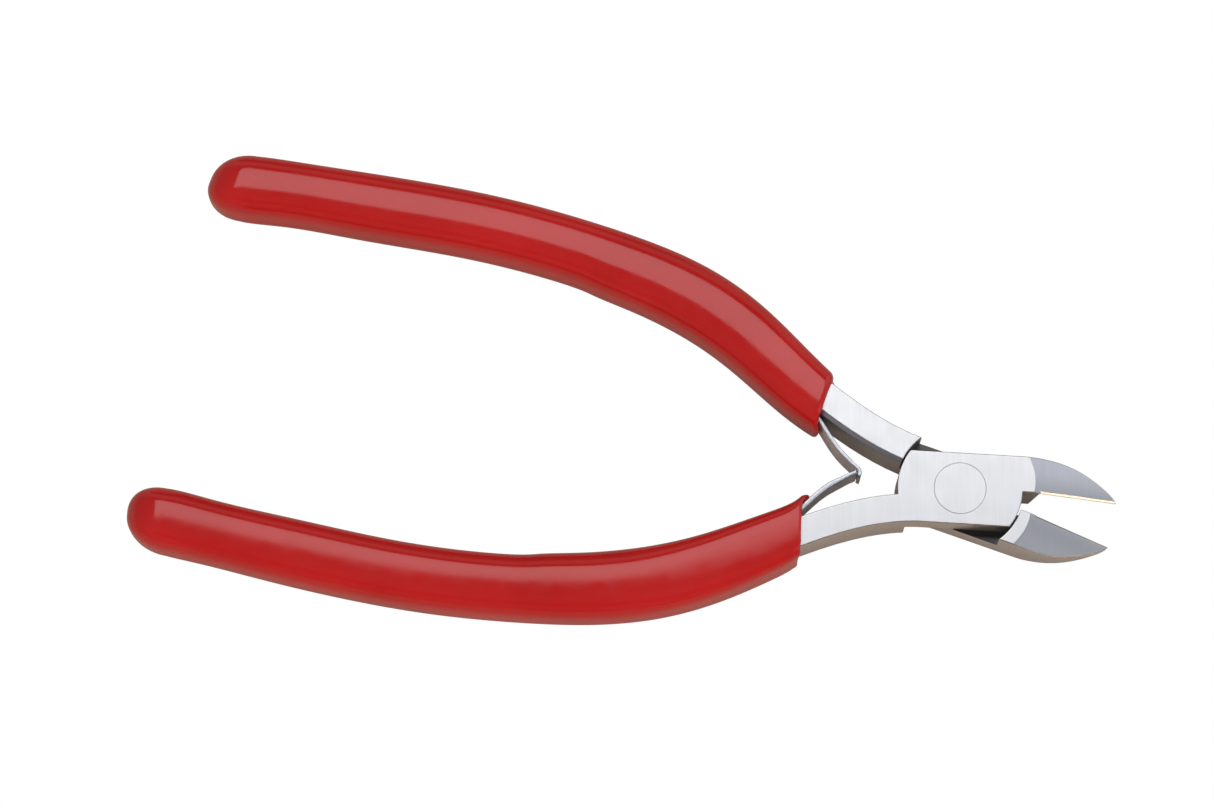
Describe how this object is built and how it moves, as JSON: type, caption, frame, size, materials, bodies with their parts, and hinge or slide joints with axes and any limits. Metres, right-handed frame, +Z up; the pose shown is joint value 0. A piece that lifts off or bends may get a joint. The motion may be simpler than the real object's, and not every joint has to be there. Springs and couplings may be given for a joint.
{
  "type": "diagonal cutting pliers",
  "caption": "Small diagonal cutting pliers with a lap joint, flush pivot rivet, hooked double leaf spring and dipped grips.",
  "frame": {"origin": "on the pivot axis, in the plane of the head's underside", "axes": "+X towards the jaw tips, along the line that halves the open jaws; +Z up, along the pivot; +Y to the side of the upper handle"},
  "size_m": [0.1227, 0.0552, 0.009],
  "materials": {
    "ground_steel": "satin ground",
    "rivet_steel": "ground flush with the head",
    "spring_steel": "rolled strip",
    "dipped_grip": "glossy dipped vinyl"
  },
  "bodies": {
    "lower_half": {"lower_lever": "ground_steel", "pivot_rivet": "rivet_steel", "lower_grip": "dipped_grip", "lower_spring_tail": "spring_steel", "lower_spring_rivet": "rivet_steel"},
    "upper_half": {"upper_lever": "ground_steel", "upper_grip": "dipped_grip", "upper_spring_tail": "spring_steel", "upper_spring_rivet": "rivet_steel"},
    "lower_leaf": {"lower_spring_leaf": "spring_steel"},
    "upper_leaf": {"upper_spring_leaf": "spring_steel"}
  },
  "joints": [
    {"name": "pivot", "type": "hinge", "parent": "lower_half", "child": "upper_half", "pos_m": [0, 0, 0.00335], "axis": [0, 0, 1], "range_deg": [-3, 16.3], "stiffness_Nm_per_rad": 1},
    {"name": "lower_leaf_flex", "type": "hinge", "parent": "lower_half", "child": "lower_leaf", "pos_m": [-0.0188, -0.0059, 0.00335], "axis": [0, 0, -1], "range_deg": [-4, 17]},
    {"name": "upper_leaf_flex", "type": "hinge", "parent": "upper_half", "child": "upper_leaf", "pos_m": [-0.0189, 0.00525, 0.00335], "axis": [0, 0, 1], "range_deg": [-4, 17]}
  ],
  "couplings": [
    {"joint": "lower_leaf_flex", "follows": "pivot", "ratio": 0.99},
    {"joint": "upper_leaf_flex", "follows": "pivot", "ratio": 1.01}
  ]
}
